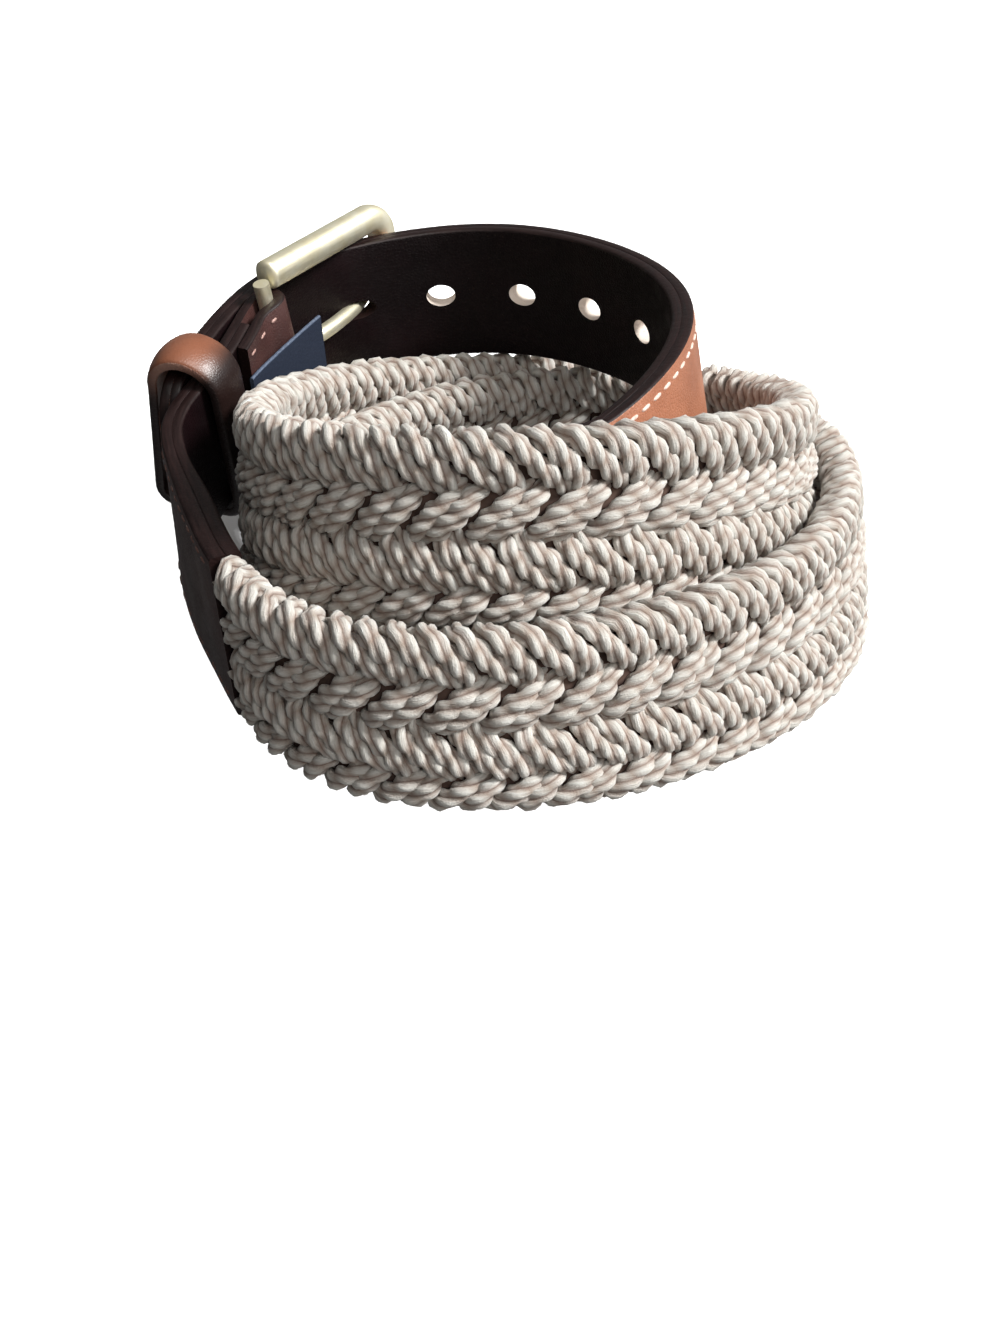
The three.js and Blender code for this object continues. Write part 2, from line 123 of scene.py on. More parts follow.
# The strap's middle line from the buckle to the tip, as in the CAD part: turn, x, y, z and lean.
ROUTE = np.array([
    (-165, -50.5, 38.7, 44.2, -0.6),
    (-150, -52.1, 35.2, 42.9, -1.9),
    (-137, -53.7, 31.7, 41.6, -3.3),
    (-125, -55.7, 26.0, 39.5, -4.5),
    (-114, -58.3, 17.5, 36.5, -4.6),
    (-104, -61.3, 9.3, 33.6, -3.0),
    (-95, -63.8, 2.6, 31.3, -0.2),
    (-85, -64.9, -8.3, 27.7, 2.2),
    (-70, -53.7, -31.2, 19.7, 5.5),
    (-40, -38.9, -66.9, 16.9, 7.7),
    (0, 6.6, -77.6, 18.0, -0.8),
    (60, 63.2, -39.6, 17.0, -8.6),
    (120, 76.4, 32.3, 18.1, -9.9),
    (180, 27.3, 79.7, 16.4, -7.2),
    (240, -47.8, 51.2, 21.9, -3.3),
    (300, -55.4, -41.3, 38.9, -1.1),
    (360, 15.0, -68.7, 48.4, -2.2),
    (420, 67.5, -8.3, 32.6, -4.1),
    (480, 47.2, 56.8, 20.3, -6.1),
    (540, -11.1, 62.3, 16.7, -7.8),
    (600, -48.3, 10.3, 17.8, -8.7),
    (660, -35.6, -39.1, 25.6, -9.2),
    (720, 5.4, -50.4, 33.6, -10.1),
    (780, 37.7, -17.2, 49.4, -11.0),
    (840, 35.8, 34.7, 51.4, -10.3),
    (900, 2.4, 67.1, 52.8, -8.7),
    (945, -31.8, 67.1, 48.2, -5.8),
    (985, -52.1, 50.0, 46.0, -3.4),
    (1020, -61.4, 26.7, 40.0, -2.4),
    (1055, -71.3, -6.9, 28.5, -1.5),
])

# How many places along the route are measured, and how many rows apart two places give a direction
ROUTE_POINTS = 6000
NEARBY = 0.01

# One strand's way from the top edge down to the bottom edge. The columns are its place along the strap in
# pitches, up and out in millimetres, half the distance between its two cords in pitches, and their size.
STRAND = np.array([
    (0.00, 15.9, 0.9, 0.250, 1.04),
    (0.12, 15.0, 1.75, 0.250, 1.06),
    (0.38, 12.4, 2.05, 0.245, 1.08),
    (0.61, 9.8, 1.75, 0.205, 1.06),
    (0.80, 7.4, 0.1, 0.145, 0.94),
    (0.95, 6.0, -1.5, 0.165, 0.98),
    (1.25, 3.2, -2.05, 0.190, 1.10),
    (1.57, 0.3, -1.6, 0.160, 1.00),
    (1.75, -1.2, 0.0, 0.140, 0.92),
    (1.93, -2.8, 1.6, 0.205, 1.02),
    (2.25, -5.6, 2.0, 0.240, 1.08),
    (2.57, -8.5, 1.65, 0.205, 1.04),
    (2.75, -10.1, 0.1, 0.140, 0.92),
    (2.92, -11.5, -1.5, 0.165, 0.96),
    (3.14, -13.2, -2.0, 0.200, 1.03),
    (3.38, -15.2, -1.3, 0.235, 1.03),
    (3.50, -15.9, 0.0, 0.245, 1.02),
])

# The lamps: name, kind, azimuth from the front round to the right, elevation, size, power and colour. A
# sun's size is its angle in degrees, and an area lamp's is its width in metres.
LAMPS = (
    ("key", "SUN", 68, 42, 14, 5.4, (1.0, 1.0, 0.995)),
    ("front_fill", "SUN", 22, 28, 25, 0.8, (1.0, 0.95, 0.91)),
    ("back_fill", "SUN", 205, 12, 40, 1.4, (1.0, 0.98, 0.96)),
    ("floor_wash", "SUN", 5, 28, 5, 8.5, (1.0, 1.0, 1.0)),
    ("reflector", "AREA", 10, 60, 1.2, 26, (1.0, 0.99, 0.96)),
)
LAMP_DISTANCE = 1.6

# The sky's strength on the left and the right, with the fade's ends as directions from -1 to 1.
SKY = {"fade_from": -0.8, "fade_to": 0.6, "left": 0.06, "right": 0.42}
FLOOR_REACH = 6000

# The photo's camera, in metres and degrees, worked out from the belt's rims and holes.
CAMERA = {"at": (-0.00188, -0.29113, 0.14666), "elevation": 28.42, "lens": 42.55, "sensor": 36.0}


def smoothstep(x, low, high):
    t = np.clip((x - low) / (high - low), 0, 1)
    return t * t * (3 - 2 * t)


def unit(vectors):
    return vectors / np.linalg.norm(vectors, axis=-1, keepdims=True)


def distances(points):
    """How far along a line of points each of them is."""
    return np.concatenate([[0], np.cumsum(np.linalg.norm(np.diff(points, axis=0), axis=1))])


def circle(count):
    """Angles evenly round a circle."""
    return np.linspace(0, 2 * math.pi, count, endpoint=False)


def read_at(points, length, at):
    """A line's points, or their directions, read at other distances along it."""
    return np.stack([np.interp(at, length, column) for column in points.T], axis=1)


def through(keys, values, x):
    """A smooth curve through a table's values, read at x."""
    slopes = np.gradient(values, keys)
    i = np.clip(np.searchsorted(keys, x, side="right") - 1, 0, len(keys) - 2)
    step = keys[i + 1] - keys[i]
    t = (x - keys[i]) / step
    start = (1 + 2 * t) * (1 - t) ** 2 * values[i] + t * (1 - t) ** 2 * step * slopes[i]
    end = t ** 2 * (3 - 2 * t) * values[i + 1] + t ** 2 * (t - 1) * step * slopes[i + 1]
    return start + end


# The strap's middle line

def spline(row):
    """The place and lean at row numbers of the route, as a uniform cubic B-spline."""
    places = ROUTE[:, 1:]
    control = np.vstack([2 * places[0] - places[1], places, 2 * places[-1] - places[-2]])
    first = np.minimum(np.floor(row).astype(int), len(ROUTE) - 2)
    f = row - first
    weights = [
        (1 - f) ** 3 / 6,
        (3 * f ** 3 - 6 * f ** 2 + 4) / 6,
        (-3 * f ** 3 + 3 * f ** 2 + 3 * f + 1) / 6,
        f ** 3 / 6,
    ]
    return sum(weight[:, None] * control[first + i] for i, weight in enumerate(weights))


def place(turns):
    """Where the strap is at some turns: its middle and its directions along, up and out."""
    row = np.interp(np.atleast_1d(turns), ROUTE[:, 0], np.arange(len(ROUTE)))
    here = spline(row)
    ahead = spline(np.minimum(row + NEARBY, len(ROUTE) - 1))
    behind = spline(np.maximum(row - NEARBY, 0))
    along = unit((ahead - behind)[:, :3])
    plumb = unit(np.array([0, 0, 1]) - along * along[:, 2:])
    lean = np.radians(here[:, 3:])
    up = plumb * np.cos(lean) + np.cross(along, plumb) * np.sin(lean)
    return here[:, :3], along, up, np.cross(along, up)


TURNS = np.linspace(ROUTE[0, 0], ROUTE[-1, 0], ROUTE_POINTS)
LENGTHS = distances(place(TURNS)[0])


def length_at(turn):
    return np.interp(turn, TURNS, LENGTHS)


def turn_at(length):
    return np.interp(length, LENGTHS, TURNS)


def on_strap(lengths, up, out):
    """Points at distances along the strap, up its width and out of its face."""
    middle, _, ups, outs = place(turn_at(lengths))
    return middle + ups * np.asarray(up)[..., None] + outs * np.asarray(out)[..., None]


def beside(at, along=0.0, up=0.0, out=0.0):
    """A point some millimetres from a place, in the place's own directions."""
    middle, along_axis, up_axis, out_axis = at
    return middle + along_axis * along + up_axis * up + out_axis * out


def place_one(turn):
    return [part[0] for part in place(turn)]


# Meshes

def new_mesh(name, vertices, faces, materials):
    """A mesh from vertices in millimetres."""
    mesh = bpy.data.meshes.new(name)
    mesh.from_pydata((vertices * MM).tolist(), [], faces)
    for material in materials:
        mesh.materials.append(material)
    return mesh


def add_object(name, data):
    thing = bpy.data.objects.new(name, data)
    bpy.context.scene.collection.objects.link(thing)
    return thing


def add_piece(name, shape, materials, replaced, sharp=SHARP["metal"], face_material=None):
    """A smooth-shaded object that rides on the belt. Its shape is vertices, faces and UVs."""
    vertices, faces, uvs = shape
    mesh = new_mesh(name, vertices, faces, materials)
    if face_material is not None:
        mesh.polygons.foreach_set("material_index", face_material)
    layer = mesh.uv_layers.new(name="strap")
    layer.data.foreach_set("uv", uvs.astype(np.float32).ravel())
    outwards(mesh)
    mesh.shade_smooth()
    mesh.set_sharp_from_angle(angle=math.radians(sharp))
    piece = add_object(name, mesh)
    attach(piece, "root")
    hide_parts(replaced)
    return piece


def outwards(mesh):
    """Turns every face of a closed mesh outwards."""
    work = bmesh.new()
    work.from_mesh(mesh)
    bmesh.ops.recalc_face_normals(work, faces=work.faces)
    work.to_mesh(mesh)
    work.free()


def skin(rings, along, around, closed=False):
    """A skin over rings of points, as a shape whose UVs are how far along and around it is."""
    count, points = rings.shape[:2]
    last = count if closed else count - 1
    ring = np.repeat(np.arange(last), points)
    point = np.tile(np.arange(points), last)
    next_ring = (ring + 1) % count
    next_point = (point + 1) % points
    sides = (ring, point), (ring, next_point), (next_ring, next_point), (next_ring, point)
    faces = np.stack([r * points + p for r, p in sides], axis=1).tolist()
    across = np.append(around, around[-1] + around[1] - around[0])
    ends = np.append(along, along[-1] + along[1] - along[0])
    corners = [(ring, point), (ring, point + 1), (ring + 1, point + 1), (ring + 1, point)]
    uvs = np.stack([np.stack([ends[r], across[p]], axis=1) for r, p in corners], axis=1).reshape(-1, 2)
    if not closed:
        faces += [list(range(points)), list(range((count - 1) * points, count * points))]
        for end in (0, -1):
            uvs = np.vstack([uvs, np.stack([np.full(points, along[end]), around], axis=1)])
    return rings.reshape(-1, 3), faces, uvs


def merged(parts):
    """Several shapes as one."""
    vertices, faces, uvs, shift = [], [], [], 0
    for part_vertices, part_faces, part_uvs in parts:
        vertices.append(part_vertices)
        faces += [[index + shift for index in face] for face in part_faces]
        uvs.append(part_uvs)
        shift += len(part_vertices)
    return np.vstack(vertices), faces, np.vstack(uvs)


# Materials

def new_material(name, **values):
    """A Principled material with the given constants, with its node tree and its shader."""
    material = bpy.data.materials.new(name)
    material.use_nodes = True
    shader = material.node_tree.nodes["Principled BSDF"]
    for socket, value in values.items():
        shader.inputs[socket.replace("_", " ")].default_value = value
    return material, material.node_tree, shader


def shader_node(tree, kind, output, inputs, **settings):
    """One output of a new shader node. Its inputs are constants or the outputs of other nodes."""
    node = tree.nodes.new("ShaderNode" + kind)
    for name, value in settings.items():
        setattr(node, name, value)
    for name, value in inputs.items():
        if hasattr(value, "is_linked"):
            tree.links.new(value, node.inputs[name])
        else:
            node.inputs[name].default_value = value
    return node.outputs[output]


def coordinates(tree, output="Object", scale=(1, 1, 1)):
    """Texture coordinates, stretched by a scale for each axis."""
    source = shader_node(tree, "TexCoord", output, {})
    return shader_node(tree, "Mapping", "Vector", {"Vector": source, "Scale": scale})


def separated(tree, output, axis):
    """The X, Y or Z of texture coordinates."""
    source = shader_node(tree, "TexCoord", output, {})
    return shader_node(tree, "SeparateXYZ", axis, {"Vector": source})


def noise(tree, vector, scale, detail=3.0, roughness=0.55):
    inputs = {"Vector": vector, "Scale": scale, "Detail": detail, "Roughness": roughness}
    return shader_node(tree, "TexNoise", "Fac", inputs)


def cells(tree, vector, scale):
    inputs = {"Vector": vector, "Scale": scale}
    return shader_node(tree, "TexVoronoi", "Distance", inputs, feature="DISTANCE_TO_EDGE")


def ramp(tree, factor, *stops):
    """Colours at positions from 0 to 1."""
    output = shader_node(tree, "ValToRGB", "Color", {"Fac": factor})
    elements = output.node.color_ramp.elements
    while len(elements) < len(stops):
        elements.new(0.5)
    for element, (position, colour) in zip(elements, stops):
        element.position = position
        element.color = (*colour, 1)
    return output


def mixed(tree, factor, a, b, kind="MIX"):
    """Two colours mixed. A mix node's colours are its sockets 6 and 7, and its output 2."""
    return shader_node(tree, "Mix", 2, {0: factor, 6: a, 7: b}, data_type="RGBA", blend_type=kind)


def math_node(tree, operation, *values):
    return shader_node(tree, "Math", "Value", dict(enumerate(values)), operation=operation)


def mapped(tree, value, limits, kind="LINEAR"):
    """A value taken from one range to another: limits are where the first and the second start and end."""
    inputs = dict(zip(("Value", "From Min", "From Max", "To Min", "To Max"), (value, *limits)))
    return shader_node(tree, "MapRange", "Result", inputs, interpolation_type=kind)


def tint(tree, shader, factor, *stops, socket="Base Color"):
    """Gives a shader's socket a ramp."""
    tree.links.new(ramp(tree, factor, *stops), shader.inputs[socket])


def greys(low, high):
    """Ramp stops for a plain value between two numbers."""
    return (0.3, (low,) * 3), (0.7, (high,) * 3)


def bump(tree, shader, *heights):
    """Bumps on top of each other: each is a height output and its depth in metres."""
    below = {}
    for height, depth in heights:
        inputs = {"Strength": 1, "Distance": depth, "Height": height, **below}
        below = {"Normal": shader_node(tree, "Bump", "Normal", inputs)}
    tree.links.new(below["Normal"], shader.inputs["Normal"])


def cord_material():
    """Undyed twisted yarn with painted shade in its grooves and at its grains' ends. UV x is millimetres
    along the cord and y counts plies, whole in their grooves.
    """
    material, tree, shader = new_material("cord", Roughness=0.95, Sheen_Weight=0.08, Sheen_Roughness=0.6)
    space = coordinates(tree)
    fibre = noise(tree, coordinates(tree, "UV", (0.45, 7.0, 1)), 1.0, 4.0, 0.65)
    patches = noise(tree, space, 90.0, 2.0)
    groove, grain_end = ply_waves(tree)
    undyed = (0.25, (0.46, 0.415, 0.37)), (0.5, (0.585, 0.56, 0.525)), (0.75, (0.70, 0.70, 0.675))
    groove_shade = (0.0, (0.44, 0.345, 0.30)), (0.3, (0.87, 0.815, 0.78)), (0.7, (1.0, 1.015, 1.0))
    colour = ramp(tree, fibre, *undyed)
    # Random patches, then painted shade in the grooves and at the ends of the grains
    for factor, stops in (
        (patches, ((0.3, (0.90, 0.89, 0.88)), (0.7, (1.0, 1.0, 1.0)))),
        (groove, groove_shade),
        (grain_end, ((0.4, (1.0, 1.0, 1.0)), (1.0, (0.68, 0.58, 0.53)))),
    ):
        colour = mixed(tree, 1.0, colour, ramp(tree, factor, *stops), "MULTIPLY")
    tree.links.new(colour, shader.inputs["Base Color"])
    fuzz = noise(tree, space, 3500.0, 2.0)
    bump(tree, shader, (fibre, 0.0004), (fuzz, 0.00014))
    return material


def ply_waves(tree):
    """Two waves over a cord's UVs that place its painted shade: 0 in its grooves to 1 on its crests, and 1 at
    the ends of its grains.
    """
    along, ply = (separated(tree, "UV", axis) for axis in "XY")
    grains = math_node(tree, "DIVIDE", along, GRAIN["length"])
    shift = math_node(tree, "MULTIPLY", math_node(tree, "FLOOR", ply), GRAIN["shift"])
    phases = ply, math_node(tree, "ADD", grains, shift)
    waves = [math_node(tree, "PINGPONG", phase, 0.5) for phase in phases]
    return [math_node(tree, "MULTIPLY", wave, 2.0) for wave in waves]


def yarn_material(name, dark, light, scale=1800.0, detail=2.0, depth=0.00008, rough=0.6):
    """Plain yarn or thread with a mottle from a dark to a light colour."""
    material, tree, shader = new_material(name, Roughness=rough)
    mottle = noise(tree, coordinates(tree), scale, detail)
    tint(tree, shader, mottle, (0.3, dark), (0.7, light))
    bump(tree, shader, (mottle, depth))
    return material


def leather_material(name, colours, roughness, coat=0.0, specular=0.5, pebble=0.00006, shaded_walls=False):
    """Leather with a fine pebbled grain, cloudy colour and faint creases. For the keeper, painted shade
    darkens its walls.
    """
    dark, middle, light = colours
    values = {"Coat_Weight": coat, "Coat_Roughness": 0.35, "Specular_IOR_Level": specular}
    material, tree, shader = new_material(name, **values)
    space = coordinates(tree)
    clouds = noise(tree, space, 55.0, 5.0, 0.6)
    colour = ramp(tree, clouds, (0.3, dark), (0.5, middle), (0.72, light))
    # Painted shade darkens the keeper's walls
    if shaded_walls:
        colour = mixed(tree, keeper_wall_shade(tree), colour, (*KEEPER_SHADE["colour"], 1))
    tree.links.new(colour, shader.inputs["Base Color"])
    wear = noise(tree, space, 140.0, 3.0)
    tint(tree, shader, wear, *greys(*roughness), socket="Roughness")
    pebbles = ramp(tree, cells(tree, space, 1500.0), (0.0, (0, 0, 0)), (0.25, (1, 1, 1)))
    bump(tree, shader, (pebbles, pebble), (clouds, 0.0002))
    return material


def keeper_wall_shade(tree):
    """How much painted shade darkens the keeper's leather at millimetres round its loop: 0 at its crown and 1
    on its walls.
    """
    round_loop = separated(tree, "UV", "X")
    walls = [mapped(tree, round_loop, (*KEEPER_SHADE[wall], 0, 1), "SMOOTHSTEP") for wall in ("inner", "outer")]
    return math_node(tree, "MAXIMUM", *walls)


def edge_paint_material():
    material, tree, shader = new_material("edge_paint", Specular_IOR_Level=0.22)
    streaks = noise(tree, coordinates(tree, "UV", (0.15, 2.0, 1)), 1.0, 3.0)
    tint(tree, shader, streaks, (0.3, (0.0065, 0.0025, 0.0023)), (0.7, (0.017, 0.0062, 0.0056)))
    tint(tree, shader, streaks, *greys(0.4, 0.6), socket="Roughness")
    bump(tree, shader, (noise(tree, coordinates(tree), 600.0, 3.0), 0.00012))
    return material


def metal_material():
    """Pale gold plating with a fine brushed finish along the bars."""
    material, tree, shader = new_material("pale_gold", Metallic=1.0)
    brushed = noise(tree, coordinates(tree, "UV", (0.12, 14.0, 1)), 1.0, 4.0, 0.7)
    spots = noise(tree, coordinates(tree), 260.0, 3.0)
    tint(tree, shader, spots, (0.35, (0.90, 0.83, 0.60)), (0.65, (0.98, 0.94, 0.76)))
    tint(tree, shader, brushed, *greys(0.42, 0.58), socket="Roughness")
    bump(tree, shader, (brushed, 0.00002))
    return material


def label_material():
    """Navy woven cloth: fine ribs across a slightly mottled ground."""
    material, tree, shader = new_material("navy_cloth", Roughness=0.9, Specular_IOR_Level=0.25)
    ribs_at = coordinates(tree, "UV", (1.0, 0.05, 1))
    ribs = shader_node(tree, "TexWave", "Fac", {"Vector": ribs_at, "Scale": 1.0, "Distortion": 0.4})
    mottle = noise(tree, coordinates(tree, "UV", (2.5, 2.5, 1)), 1.0, 3.0)
    tint(tree, shader, mottle, (0.3, (0.009, 0.014, 0.028)), (0.7, (0.016, 0.024, 0.046)))
    bump(tree, shader, (ribs, 0.00008), (mottle, 0.00008))
    return material


def floor_material():
    material, tree, shader = new_material("floor", Roughness=0.7)
    faint = noise(tree, coordinates(tree), 4.0, 2.0)
    tint(tree, shader, faint, *greys(0.86, 0.90))
    return material


CORD_YARN = cord_material()
COARSE = {"scale": 300.0, "detail": 3.0, "depth": 0.0003, "rough": 1.0}
# The braid's inside is a dark strip whose colour is painted shade between the strands
CORE_SHADE = yarn_material("braid_inside_shade", (0.05, 0.028, 0.02), (0.11, 0.065, 0.048), **COARSE)

# Dark, middle and light colours for each kind of leather
TAN_COLOURS = (0.24, 0.088, 0.045), (0.33, 0.130, 0.070), (0.42, 0.178, 0.102)
# The keeper's crown is the tan leather darkened with painted shade
SHADED_CROWN_COLOURS = (0.12, 0.039, 0.017), (0.185, 0.062, 0.028), (0.25, 0.09, 0.045)
PINK_COLOURS = (0.16, 0.07, 0.045), (0.25, 0.12, 0.085), (0.34, 0.19, 0.145)
LINING_COLOURS = (0.0022, 0.0007, 0.0009), (0.0038, 0.0011, 0.0015), (0.0072, 0.0020, 0.0027)
# The flap's colours are the tan leather darkened with painted shade
FLAP_SHADE_COLOURS = (0.025, 0.0085, 0.0075), (0.040, 0.0145, 0.0125), (0.062, 0.024, 0.021)
# The punched holes' walls: pale raw leather, made paler still with painted light so that the holes look lit
RAW_AND_LIT_COLOURS = (0.70, 0.60, 0.51), (0.80, 0.71, 0.63), (0.90, 0.83, 0.77)

TAN = leather_material("tan_leather", TAN_COLOURS, (0.36, 0.50), coat=0.06, specular=0.4)
# The keeper's leather is a darker copy of the tan as painted shade, with painted shade on its walls too
KEEPER_FINISH_AND_SHADE = {"coat": 0.12, "pebble": 0.00002, "shaded_walls": True}
KEEPER_TAN = leather_material("keeper_leather", SHADED_CROWN_COLOURS, (0.36, 0.46), **KEEPER_FINISH_AND_SHADE)
KEEPER_EDGE = leather_material("keeper_edge", PINK_COLOURS, (0.4, 0.55), shaded_walls=True)
LINING = leather_material("dark_lining", LINING_COLOURS, (0.45, 0.62), specular=0.12)
# A darker copy of the tan leather, as painted shade on the flap and the buckle end's outer face
FLAP_SHADE = leather_material("flap_leather_shade", FLAP_SHADE_COLOURS, (0.45, 0.6))
RAW_AND_LIT = leather_material("raw_leather_and_painted_light", RAW_AND_LIT_COLOURS, (0.6, 0.8))
EDGE = edge_paint_material()
GOLD = metal_material()
NAVY = label_material()
THREAD = yarn_material("pale_thread", (0.52, 0.36, 0.29), (0.80, 0.64, 0.56))
# The label's edges: the navy made paler with a painted sheen
LABEL_EDGE_SHEEN = yarn_material("label_edge_sheen", (0.03, 0.045, 0.08), (0.08, 0.11, 0.17))
# The buckle end's and the flap's stitches: the pale thread darkened with painted shade
SHADED_THREAD = yarn_material("shaded_thread", (0.10, 0.045, 0.035), (0.22, 0.11, 0.085))
SHADED_FLAP_THREAD = yarn_material("flap_thread_shaded", (0.28, 0.15, 0.125), (0.50, 0.32, 0.28))


# The braid

def strand_path(along):
    """A strand's height, offset, spread and size at distances along it, in pitches.

    Its way back up is its way down in reverse, on the strap's other face.
    """
    one_repeat = np.array([STRANDS, 0, 0, 0, 0])
    back = STRAND[::-1] * np.array([-1, 1, -1, 1, 1]) + one_repeat
    repeat = np.vstack([STRAND[:-1], back[:-1]])
    keys = np.vstack([repeat[-3:] - one_repeat, repeat, repeat[:3] + one_repeat])
    x = np.mod(along, STRANDS)
    return [through(keys[:, 0], column, x) for column in keys.T[1:]]


def ply_shape(travel):
    """Shares of the cord's full radius all round it: its plies narrow at the ends of their grains."""
    profile = np.tile(PLY_PROFILE, CORD["plies"])
    ply = np.repeat(np.arange(CORD["plies"]), len(PLY_PROFILE))
    groove = profile == min(PLY_PROFILE)
    phase = travel[:, None] / GRAIN["length"] + GRAIN["shift"] * ply[None, :]
    end_of_grain = (0.5 - 0.5 * np.cos(2 * math.pi * phase)) ** 2
    return profile[None, :] * (1 - GRAIN["dip"] * end_of_grain * ~groove[None, :])


def cord_line(strand, side):
    """One cord's middle line: distances along the strap, and the cord's places and sizes there."""
    start, end = length_at(BRAID_FROM - ENDS_PAST["cord"]), length_at(BRAID_TO + ENDS_PAST["cord"])
    count = int((end - start) * CORD["rings_per_mm"])
    along = np.linspace(start / PITCH - 1, end / PITCH + 1, count)
    up, out, spread, size = strand_path(along - strand)
    lengths = (along + side * spread) * PITCH
    inside = (lengths >= start) & (lengths <= end)
    lengths, up, out, size = lengths[inside], up[inside], out[inside], size[inside]
    near_end = np.minimum(lengths - start, end - lengths)
    flatter = BRAID_END["flatter"] + (1 - BRAID_END["flatter"]) * smoothstep(near_end, 0, BRAID_END["fade"])
    return lengths, on_strap(lengths, up, out * flatter), size * flatter


def cord_rings(strand, side):
    """Rings of points round one twisted cord, and how far along it they are."""
    lengths, middle, size = cord_line(strand, side)
    tangent = unit(np.gradient(middle, axis=0))
    outs = place(turn_at(lengths))[3]
    sideways = unit(np.cross(tangent, outs))
    lift = np.cross(sideways, tangent)
    travel = distances(middle)
    spin = 2 * math.pi * travel / CORD["twist"] + strand + side
    corner = np.arange(CORD["around"]) * 2 * math.pi / CORD["around"]
    radius = CORD["radius"] * ply_shape(travel) * size[:, None]
    angle = corner[None, :] - spin[:, None]
    rise = np.cos(angle) * radius * CORD["flat"]
    drift = np.sin(angle) * radius
    rings = middle[:, None] + lift[:, None] * rise[..., None] - sideways[:, None] * drift[..., None]
    rings[..., 2] = np.maximum(rings[..., 2], PRESSED_AT)
    return rings, travel


def braid():
    ply = np.arange(CORD["around"]) / CORD["around"] * CORD["plies"]
    for strand in range(STRANDS):
        cords = []
        for side in (-1, 1):
            rings, travel = cord_rings(strand, side)
            cords.append(skin(rings, travel, ply + PLIES_APART * (2 * strand + side)))
        name = f"braid_strand_{strand + 1}"
        piece = add_piece(name, merged(cords), [CORD_YARN], "braided_strap", SHARP["cord"])


def braid_core():
    """A dark strip inside the braid, coloured as painted shade: it shows only in the gaps between the
    strands.
    """
    turns = turns_between(BRAID_FROM, BRAID_TO, CORE["step"])
    section = strip_section(CORE["width"], CORE["thick"], CORE["edge"])
    middle, _, up, out = place(turns)
    rings = sections(middle, up, out, section)
    core_shades = [CORE_SHADE, CORE_SHADE]
    piece = strip_piece("braid_core", rings, length_at(turns), section, CORE["width"], core_shades, "braided_strap")


# The leather ends

def junction_swell(turn):
    """How much of its swell over the braid's ends the leather has, from 0 to 1."""
    near = np.minimum(np.abs(turn - BRAID_FROM), np.abs(turn - BRAID_TO))
    return 1 - smoothstep(near, JUNCTION["held"], JUNCTION["held"] + JUNCTION["fades"])


def tip_share(turn):
    """The tip's width as a share of the strap's, which falls off round its corners."""
    left = np.clip((TIP["at"] - turn) / TIP["corner"], 0, 1)
    return TIP["flat_share"] + (1 - TIP["flat_share"]) * np.sqrt(1 - (1 - left) ** 2)


def strip_section(width, thick, edge, inner_edge=None):
    """Points (up, out) round a flat strip, from its lower inner corner. inner_edge rounds its inner side."""
    inner_edge = edge if inner_edge is None else inner_edge
    points = []
    for side, corner, next_corner in ((-1, inner_edge, edge), (1, edge, inner_edge)):
        across = np.linspace(corner - width / 2, width / 2 - corner, FACE_POINTS) * -side
        points += [
            np.stack([across, np.full(FACE_POINTS, side * thick / 2)], axis=1),
            corner_points(width, thick, -side, side, corner),
            corner_points(width, thick, -side, -side, next_corner),
        ]
    return np.vstack(points)


def sections(middle, up, out, section):
    """Rings with a section's shape at the points of a middle line."""
    raised = middle[:, None] + section[None, :, :1] * up[..., None, :]
    return raised + section[None, :, 1:] * out[..., None, :]


def corner_points(width, thick, up_side, out_side, radius):
    """Three points inside a round corner, in order round the strip."""
    angle = np.radians(CORNER_ANGLES)
    if up_side * out_side < 0:
        angle = angle[::-1]
    up = up_side * (width / 2 - radius + radius * np.cos(angle))
    out = out_side * (thick / 2 - radius + radius * np.sin(angle))
    return np.stack([up, out], axis=1)


def is_edge(section, width):
    """Which sides of a section lie in the painted band at its two edges."""
    middle = (section + np.roll(section, -1, axis=0)) / 2
    return np.abs(middle[:, 0]) > width / 2 - EDGE_BAND


def strip_piece(name, rings, lengths, section, width, materials, replaced, closed=False):
    """A strip whose faces take the first material and whose edges and ends take the second."""
    shape = skin(rings, lengths, distances(section), closed)
    sides = np.tile(is_edge(section, width), len(rings) if closed else len(rings) - 1)
    face_material = np.append(sides, [] if closed else [1, 1]).astype(np.int32)
    return add_piece(name, shape, materials, replaced, SHARP["leather"], face_material)


def sheet_rings(turns, section, inner, outer, tip):
    """Rings of a leather sheet from inner to outer millimetres out of the strap's middle.

    The face that is away from the middle swells where the leather holds the braid.
    """
    swell = junction_swell(turns)
    wide = 1 + (JUNCTION["width"] / LEATHER["width"] - 1) * swell
    wide = wide * tip_share(turns) if tip else wide
    thick = outer - inner
    share = section[:, 1] / thick + 0.5
    swollen = (swell * JUNCTION["swell"])[:, None]
    low, high = (inner - swollen, outer) if inner + outer < 0 else (inner, outer + swollen)
    height = low + (high - low) * share[None, :]
    middle, _, up, out = place(turns)
    ups = section[None, :, :1] * wide[:, None, None] * up[:, None]
    return middle[:, None] + ups + height[..., None] * out[:, None]


def punches(hole):
    """Oval cutters through the strap, one for each place of a kind of hole."""
    angle = circle(CUTTER["sides"])
    cutters = []
    for turn in hole["at"]:
        middle, along, up, out = place_one(turn)
        ring = np.outer(np.cos(angle) * hole["length"] / 2, along)
        ring = middle + (ring + np.outer(np.sin(angle) * hole["width"] / 2, up))
        rings = np.stack([ring - CUTTER["reach"] * out, ring + CUTTER["reach"] * out])
        cutters.append(skin(rings, np.array([0.0, 1.0]), angle)[:2])
    return cutters


